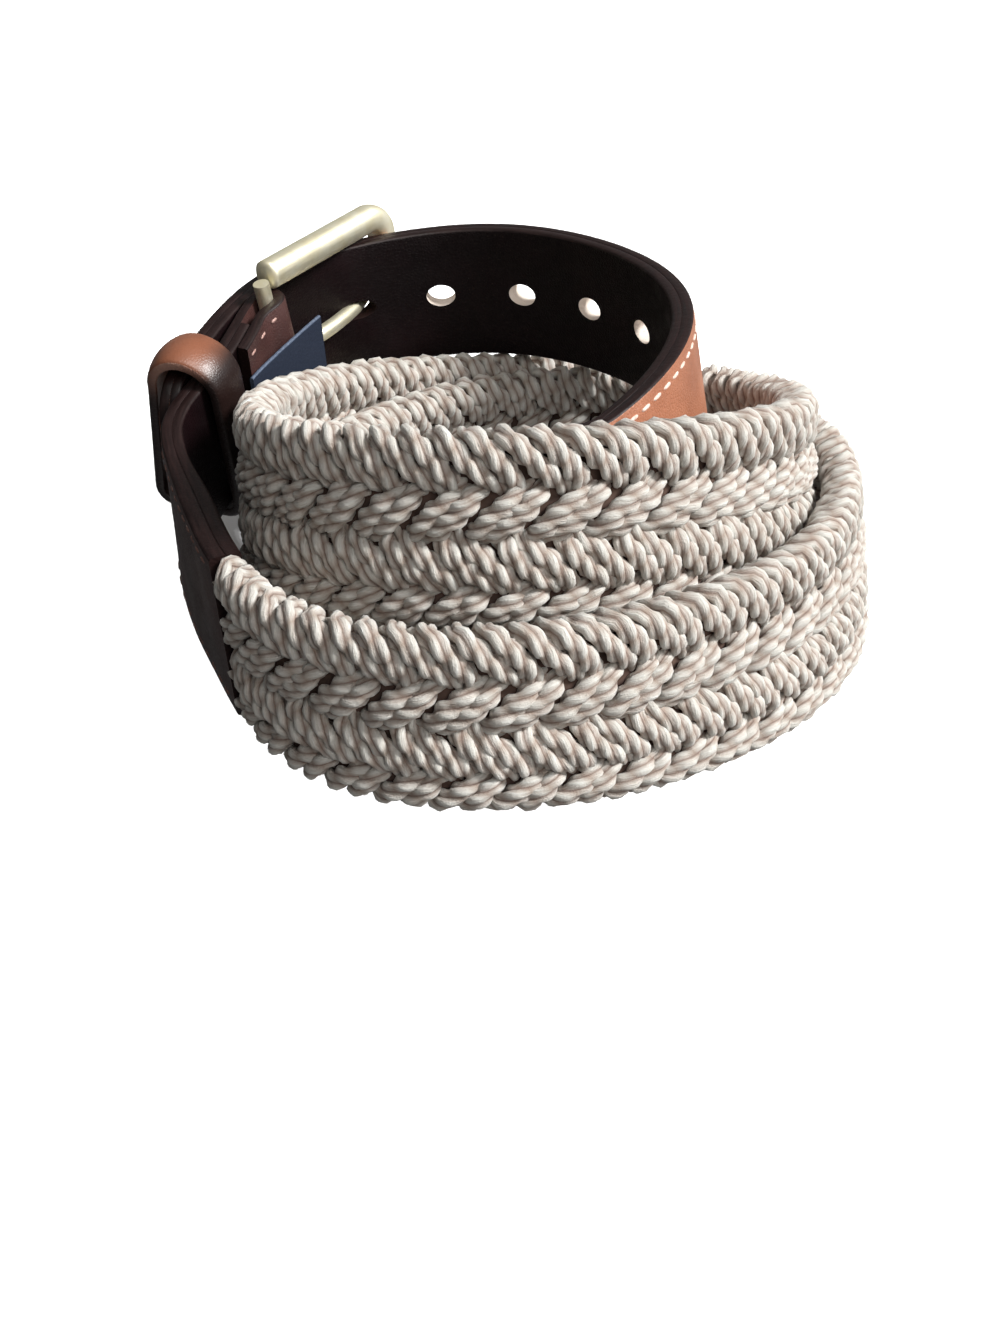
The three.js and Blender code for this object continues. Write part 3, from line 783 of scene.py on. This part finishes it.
def box_cutter(middle, along, up, out, size):
    """A box to cut with, of a size along, up and out."""
    corners = [(a, u, o) for a in (-0.5, 0.5) for u in (-0.5, 0.5) for o in (-0.5, 0.5)]
    points = [middle + along * a * size[0] + up * u * size[1] + out * o * size[2] for a, u, o in corners]
    faces = [[0, 1, 3, 2], [4, 6, 7, 5], [0, 4, 5, 1], [2, 3, 7, 6], [0, 2, 6, 4], [1, 5, 7, 3]]
    return np.array(points), faces


def cut(piece, cutters, wall):
    """Cuts shapes out of a piece. The cut walls take the wall material."""
    for vertices, faces in cutters:
        mesh = new_mesh("cutter", vertices, faces, [wall])
        outwards(mesh)
        cutter = add_object("cutter", mesh)
        modifier = piece.modifiers.new("cut", "BOOLEAN")
        modifier.operation = "DIFFERENCE"
        modifier.solver = "EXACT"
        modifier.material_mode = "TRANSFER"
        modifier.object = cutter
        bpy.context.view_layer.update()
        result = bpy.data.meshes.new_from_object(piece.evaluated_get(bpy.context.evaluated_depsgraph_get()))
        piece.modifiers.clear()
        piece.data = result
        bpy.data.objects.remove(cutter)
    piece.data.shade_smooth()
    piece.data.set_sharp_from_angle(angle=math.radians(SHARP["leather"]))


def stitches(name, lengths, up, out, lift, replaced, thread):
    """Thread stitches along a line on a face: lift is the direction of the face, out or in."""
    parts = []
    sides = STITCH_MESH["sides"]
    shares = np.linspace(0, 1, STITCH_MESH["rings"])
    swell = np.sqrt(np.clip(1 - (2 * shares - 1) ** 4, STITCH_MESH["blunt"], 1))
    corner = circle(sides)
    for start in lengths:
        run = start + (shares - 0.5) * STITCH["length"]
        height = np.interp(run, lengths, up)
        base = np.interp(run, lengths, out) + lift * STITCH["proud"]
        radius = STITCH["radius"] * swell
        ups = height[:, None] + np.sin(corner)[None] * radius[:, None] * STITCH["wide"]
        outs = base[:, None] + np.cos(corner)[None] * radius[:, None]
        rings = on_strap(np.repeat(run, sides), ups.ravel(), outs.ravel()).reshape(-1, sides, 3)
        parts.append(skin(rings, run, corner))
    return add_piece(name, merged(parts), [thread], replaced, SHARP["cord"])


OUTER_FACE = GAP / 2 + LEATHER["outer"]
INNER_FACE = -(GAP / 2 + LEATHER["lining"])
FOLD_RADIUS = FRAME["heel_bar"] + GAP + LEATHER["outer"] / 2
OUTER_AT = GAP / 2 + LEATHER["outer"] / 2
FOLD_PLACE = place_one(FOLD["at"])
HEEL_BAR = beside(FOLD_PLACE, out=OUTER_AT - FOLD_RADIUS)


def turns_between(start, end, step):
    """Turns from one to another that are step millimetres apart along the strap."""
    count = int(abs(length_at(end) - length_at(start)) / step) + 2
    return turn_at(np.linspace(length_at(start), length_at(end), count))


def tip_turns():
    """Turns along the tip end, closer together where its corners round off."""
    start, end = BRAID_TO + ENDS_PAST["leather"], TIP["at"] - TIP["corner"]
    straight = turns_between(start, end, LEATHER["step"])
    corner = TIP["at"] - TIP["corner"] * (1 - np.sin(np.linspace(0, math.pi / 2, TIP["points"])))
    return np.concatenate([straight[:-1], corner])


def edge_line(turns, from_edge):
    """How far up the strap a line runs that keeps its distance from the leather's edge."""
    wide = LEATHER["width"] + (JUNCTION["width"] - LEATHER["width"]) * junction_swell(turns)
    return wide / 2 - from_edge


def stitch_lengths(start, end):
    return np.linspace(start, end, int((end - start) / STITCH["every"]))


def stitch_rows(name, start, end, replaced, thread):
    """A row of stitches beside each edge of a leather end, on its outer face."""
    lengths = stitch_lengths(length_at(start), length_at(end))
    turns = turn_at(lengths)
    up = edge_line(turns, STITCH["from_edge"])
    out = OUTER_FACE + junction_swell(turns) * JUNCTION["swell"]
    stitch_pair(name, lengths, up, out, 1, replaced, thread)


def stitch_pair(name, lengths, up, out, lift, replaced, thread):
    for side, word in ((1, "top"), (-1, "bottom")):
        piece = stitches(f"{name}_{word}", lengths, side * up, out, lift, replaced, thread)


def sheet_section(inner, outer):
    """A leather sheet's section: round at its outer corners and square where it meets the other sheet."""
    corners = LEATHER["edge"], LEATHER["inner_edge"]
    if inner + outer < 0:
        corners = corners[::-1]
    return strip_section(LEATHER["width"], outer - inner, *corners)


def sheet(name, node, turns, inner, outer, face, tip=False):
    """A leather sheet with painted edges."""
    section = sheet_section(inner, outer)
    rings = sheet_rings(turns, section, inner, outer, tip)
    return strip_piece(name, rings, length_at(turns), section, LEATHER["width"], [face, EDGE], node)


def tip_end():
    turns = tip_turns()
    for name, node, inner, outer, face, slot in (
        ("tip_outer_leather", "tip_leather", SEAM, OUTER_FACE, TAN, "tan_leather"),
        ("tip_dark_lining", "tip_lining", INNER_FACE, -SEAM, LINING, "dark_leather"),
    ):
        piece = sheet(name, node, turns, inner, outer, face, tip=True)
        # The holes' walls take the raw leather with its painted light
        cut(piece, punches(HOLE), RAW_AND_LIT)
        cut(piece, punches(PRONG_HOLE), EDGE)
    first, last = BRAID_TO + STITCH_ENDS["tip"], TIP["at"] - TIP["corner"]
    stitch_rows("tip_stitches", first, last, "tip_leather", THREAD)


def fold_rings(section):
    """Rings of the outer leather from the braid, round the heel bar and back as a flap."""
    _, along, up, out = FOLD_PLACE
    run = turns_between(BRAID_FROM - ENDS_PAST["leather"], FOLD["at"], LEATHER["step"])
    rings = [sheet_rings(run, section, SEAM, OUTER_FACE, tip=False)]
    for angle in np.linspace(0, math.pi, FOLD["points"])[1:-1]:
        outwards_now = out * math.cos(angle) - along * math.sin(angle)
        centre = HEEL_BAR + outwards_now * FOLD_RADIUS
        rings.append((centre + section[:, :1] * up + section[:, 1:] * outwards_now)[None])
    back = turns_between(FOLD["at"], FOLD["flap_end"], LEATHER["step"])
    share = smoothstep((back - FOLD["at"]) / (FOLD["flap_end"] - FOLD["at"]), 0, FOLD["closed_by"])
    beside_bar = OUTER_AT - 2 * FOLD_RADIUS
    on_lining = INNER_FACE - GAP - LEATHER["outer"] / 2
    offset = beside_bar + (on_lining - beside_bar) * share
    middles, _, ups, outs = place(back)
    flap_out = offset[:, None, None] - section[None, :, 1:]
    rings.append(middles[:, None] + section[None, :, :1] * ups[:, None] + flap_out * outs[:, None])
    return np.concatenate(rings), back, offset


def buckle_end():
    section = sheet_section(SEAM, OUTER_FACE)
    rings, back, offset = fold_rings(section)
    name, node, faces = "buckle_end_outer_leather", "buckle_end_leather", [TAN, EDGE]
    outer = strip_piece(name, rings, distances(rings.mean(axis=1)), section, LEATHER["width"], faces, node)
    shade_buckle_end(outer)
    _, along, up, out = FOLD_PLACE
    slot_size = (SLOT["length"], SLOT["width"], SLOT["length"])
    cut(outer, [box_cutter(HEEL_BAR + along * SLOT["shift"], along, up, out, slot_size)], EDGE)
    buckle_end_lining()
    first, last = FOLD["at"] + STITCH_ENDS["fold"], BRAID_FROM - STITCH_ENDS["braid"]
    stitch_rows("buckle_end_stitches", first, last, node, SHADED_THREAD)
    flap_stitches(back, offset)


def shade_buckle_end(piece):
    """Paints shade on the flap and on the outer face beside the braid with a darker copy of the tan leather.
    """
    out = FOLD_PLACE[3]
    piece.data.materials.append(FLAP_SHADE)
    for face in piece.data.polygons:
        from_bar = np.array(face.center) / MM - HEEL_BAR
        if face.material_index == 0 and from_bar.dot(out) < SHADED_BELOW:
            face.material_index = 2


def buckle_end_lining():
    turns = turns_between(BRAID_FROM - ENDS_PAST["leather"], FOLD["lining_end"], LEATHER["step"])
    name, node = "buckle_end_dark_lining", "buckle_end_lining"
    sheet(name, node, turns, INNER_FACE, -SEAM, LINING)


def flap_stitches(turns, offset):
    """A row of stitches along the top and the bottom of the flap's inner face."""
    start, end = length_at(turns[[0, -1]])
    lengths = stitch_lengths(start + STITCH_ENDS["flap_mm"], end - STITCH["from_edge"])
    out = np.interp(lengths, length_at(turns), offset) - LEATHER["outer"] / 2
    up = np.full(len(lengths), LEATHER["width"] / 2 - STITCH["from_edge"])
    stitch_pair("flap_stitches", lengths, up, out, -1, "buckle_end_leather", SHADED_FLAP_THREAD)


# The buckle

def tube(points, tangent, radius, reference, squareness=1.0, sides=24):
    """Rings round a path, and their angles: radius is one value or one for each point."""
    side = unit(np.cross(tangent, reference))
    lift = np.cross(side, tangent)
    angle = circle(sides)
    x, y = (np.sign(part) * np.abs(part) ** squareness for part in (np.cos(angle), np.sin(angle)))
    across = side[:, None] * x[:, None] + lift[:, None] * y[:, None]
    radius = np.broadcast_to(radius, len(points))
    return points[:, None] + across * radius[:, None, None], angle


def bar_part(points, radius, reference, squareness=1.0):
    """The shape of a bar along a path."""
    rings, angle = tube(points, unit(np.gradient(points, axis=0)), radius, reference, squareness)
    return skin(rings, distances(points), angle * TEXTURE_ROUND["bar"])


def ring_part(loop, radius, reference):
    """The shape of a round bar along a closed loop."""
    tangent = unit(np.roll(loop, -1, axis=0) - np.roll(loop, 1, axis=0))
    rings, angle = tube(loop, tangent, radius, reference, sides=PRONG_RING["sides"])
    along = np.arange(len(loop)) * PRONG_RING["step"]
    return skin(rings, along, angle * TEXTURE_ROUND["ring"], closed=True)


def frame_axes():
    """Where the frame's far bar is, with the frame's own directions, and how far from the heel bar."""
    strap = place_one(FRAME["at"])
    middle = beside(strap, out=OUTER_FACE + FRAME["clearance"] + FRAME["bar"])
    to_heel = HEEL_BAR - middle
    along = unit(to_heel)
    up = unit(strap[2] - along * strap[2].dot(along))
    return (middle, along, up, np.cross(along, up)), np.linalg.norm(to_heel)


BUCKLE, BUCKLE_LENGTH = frame_axes()
_, BUCKLE_ALONG, BUCKLE_UP, BUCKLE_OUT = BUCKLE


def round_ends(length, radius, ease):
    """A radius that closes in a dome at both ends of a bar."""
    near = np.minimum(length, length[-1] - length)
    return radius * np.sqrt(np.clip(1 - (1 - np.clip(near / ease, 0, 1)) ** 2, DOME_END, 1))


def dense(points, step=0.35):
    """A line's points close together, and their distances along it."""
    length = distances(points)
    at = np.linspace(0, length[-1], int(length[-1] / step) + 2)
    return read_at(points, length, at), at


def buckle_frame():
    half, corner, bar = FRAME["half_height"], FRAME["corner"], FRAME["bar"]
    angle = np.linspace(0, math.pi / 2, FRAME_BAR["corner_points"])
    side = np.array([(BUCKLE_LENGTH + FRAME_BAR["past_heel"], half)])
    turn = np.stack([corner - corner * np.sin(angle), half - corner + corner * np.cos(angle)], axis=1)
    outline = np.vstack([side, turn, turn[::-1] * (1, -1), side * (1, -1)])
    path = np.array([beside(BUCKLE, along=a, up=u) for a, u in outline])
    points, length = dense(path)
    radius = round_ends(length, bar, FRAME_BAR["dome"])
    loop = bar_part(points, radius, BUCKLE_OUT, FRAME_BAR["squareness"])
    heel, _ = dense(np.array([beside([HEEL_BAR, *FOLD_PLACE[1:]], up=u) for u in (half, -half)]))
    shape = merged([loop, bar_part(heel, FRAME["heel_bar"], BUCKLE_OUT)])
    add_piece("gold_buckle_frame", shape, [GOLD], "buckle_frame")


def buckle_prong():
    _, along, up, out = FOLD_PLACE
    ring_radius = FRAME["heel_bar"] + PRONG["clearance"] + PRONG["ring"]
    angle = circle(PRONG_RING["points"])
    loop = HEEL_BAR + np.outer(np.cos(angle), along) * ring_radius
    loop = loop + np.outer(np.sin(angle), out) * ring_radius
    ring = ring_part(loop, PRONG["ring"], up)
    over_bar = FRAME["bar"] + GAP + PRONG["tip"]
    hole = place_one(PRONG_HOLE["at"][0])[0]
    bow = HEEL_BAR + (hole - HEEL_BAR) * PRONG_BOW["share"] - BUCKLE_OUT * PRONG_BOW["depth"]
    keys = np.array([
        HEEL_BAR - BUCKLE_ALONG * (ring_radius + PRONG["shoulder"]),
        bow,
        hole,
        beside(BUCKLE, out=over_bar),
        beside(BUCKLE, along=-PRONG["past"], out=over_bar),
    ])
    chord = distances(keys)
    at = np.linspace(0, chord[-1], PRONG_BAR["points"])
    points = np.stack([through(chord, column, at) for column in keys.T], axis=1)
    radius = PRONG["root"] + (PRONG["tip"] - PRONG["root"]) * at / at[-1]
    domed = round_ends(at, 1.0, PRONG_BAR["dome"]) * radius
    bar = bar_part(points, domed, BUCKLE_UP, PRONG_BAR["squareness"])
    add_piece("gold_buckle_prong", merged([ring, bar]), [GOLD], "buckle_prong")


# The keeper and the label

def keeper_loop():
    """The keeper's middle line: (up, out) points, directions out of the loop and distances round it."""
    inner, outer, flare, bottom, top = KEEPER_INSIDE.values()
    radius, middle, corner = (outer - inner) / 2, (outer + inner) / 2, KEEPER["corner"]
    grow = KEEPER["thick"] / 2
    # Each arc's centre up and out, its radius, where it starts and ends in half turns, and its points
    arcs = (
        (top - radius, middle, radius, -0.5, 0.5, 28),
        (bottom + corner, outer + flare - corner, corner, 0.5, 1.0, 10),
        (bottom + corner, inner + corner, corner, 1.0, 1.5, 10),
    )
    points, normals = [], []
    for up, out, size, start, end, count in arcs:
        angle = np.linspace(start, end, count) * math.pi
        normal = np.stack([np.cos(angle), np.sin(angle)], axis=1)
        points.append(np.array([up, out]) + normal * (size + grow))
        normals.append(normal)
    return subdivided(np.vstack(points), np.vstack(normals))


def subdivided(points, normals, step=1.0):
    """A closed loop's points and directions again, about step apart, and their distances round it."""
    loop = np.vstack([points, points[:1]])
    turned = np.vstack([normals, normals[:1]])
    length = distances(loop)
    at = np.linspace(0, length[-1], int(length[-1] / step), endpoint=False)
    return read_at(loop, length, at), unit(read_at(turned, length, at)), at


def keeper():
    points, normals, at = keeper_loop()
    middle, along, up, out = place_one(KEEPER["at"])
    section = strip_section(KEEPER["length"], KEEPER["thick"], KEEPER["edge"])
    dome = KEEPER["dome"] * (1 - (2 * section[:, 0] / KEEPER["length"]) ** 2)
    centre = middle + points[:, :1] * up + points[:, 1:] * out
    direction = normals[:, :1] * up + normals[:, 1:] * out
    domed = np.stack([section[:, 0], section[:, 1] + dome], axis=1)
    rings = sections(centre, along, direction, domed)
    faces = [KEEPER_TAN, KEEPER_EDGE]
    piece = strip_piece("keeper_loop", rings, at, section, KEEPER["length"], faces, "keeper", closed=True)


def label():
    middle, along, up, out = place_one(LABEL["at"])
    start = INNER_FACE - GAP - LEATHER["outer"] - GAP - LABEL["thick"] / 2
    share = np.linspace(0, 1, LABEL_CURL["points"])
    off = start - LABEL_CURL["depth"] * share ** LABEL_CURL["power"]
    lengths = LABEL["length"] * share
    centre = middle - np.outer(lengths, along) + np.outer(off, out)
    section = strip_section(LABEL["width"], LABEL["thick"], LABEL["edge"])
    rings = sections(centre, up, out, section)
    piece = strip_piece("cloth_label", rings, lengths, section, LABEL["width"], [NAVY, LABEL_EDGE_SHEEN], "inner_label")


# The studio

def floor():
    corners = np.array([(-1, -1, 0), (1, -1, 0), (1, 1, 0), (-1, 1, 0)]) * FLOOR_REACH
    ground = add_object("floor", new_mesh("floor", corners, [(0, 1, 2, 3)], [floor_material()]))
    ground.visible_diffuse = False
    ground.visible_glossy = False


def camera():
    data = bpy.data.cameras.new("camera")
    data.sensor_fit = "VERTICAL"
    data.sensor_height = CAMERA["sensor"]
    data.lens = CAMERA["lens"]
    data.clip_start = 0.01
    data.clip_end = 30
    view = add_object("camera", data)
    view.location = CAMERA["at"]
    view.rotation_euler = (math.radians(90 - CAMERA["elevation"]), 0, 0)
    bpy.context.scene.camera = view


def lamp(name, kind, azimuth, elevation, size, power, colour):
    """A lamp that looks at the belt from a row of the table."""
    data = bpy.data.lights.new(name, kind)
    data.energy = power
    data.color = colour
    if kind == "SUN":
        data.angle = math.radians(size)
    else:
        data.shape = "DISK"
        data.size = size
    light = add_object(name, data)
    a, e = math.radians(azimuth), math.radians(elevation)
    way = np.array([math.sin(a) * math.cos(e), -math.cos(a) * math.cos(e), math.sin(e)])
    light.location = way * LAMP_DISTANCE
    light.rotation_euler = (math.radians(90 - elevation), 0, a)
    return light


def light_floor(light, state):
    """Makes a lamp light the floor alone for INCLUDE, or all but the floor for EXCLUDE."""
    group = bpy.data.collections.new(f"{light.name}_lights")
    group.objects.link(bpy.data.objects["floor"])
    group.collection_objects[0].light_linking.link_state = state
    light.light_linking.receiver_collection = group


def world():
    """A white sky that is dark on the left, where nothing lights the belt."""
    sky = bpy.data.worlds.new("studio")
    sky.use_nodes = True
    tree = sky.node_tree
    background = tree.nodes["Background"]
    background.inputs["Color"].default_value = (1, 1, 1, 1)
    strength = mapped(tree, separated(tree, "Generated", "X"), SKY.values())
    tree.links.new(strength, background.inputs["Strength"])
    bpy.context.scene.world = sky


def studio():
    floor()
    camera()
    lamps = {row[0]: lamp(*row) for row in LAMPS}
    light_floor(lamps["back_fill"], "EXCLUDE")
    light_floor(lamps["floor_wash"], "INCLUDE")
    lamps["back_fill"].visible_glossy = False
    lamps["reflector"].visible_diffuse = False
    world()
    bpy.context.scene.view_settings.view_transform = "Standard"


braid()
braid_core()
tip_end()
buckle_end()
buckle_frame()
buckle_prong()
keeper()
label()
studio()
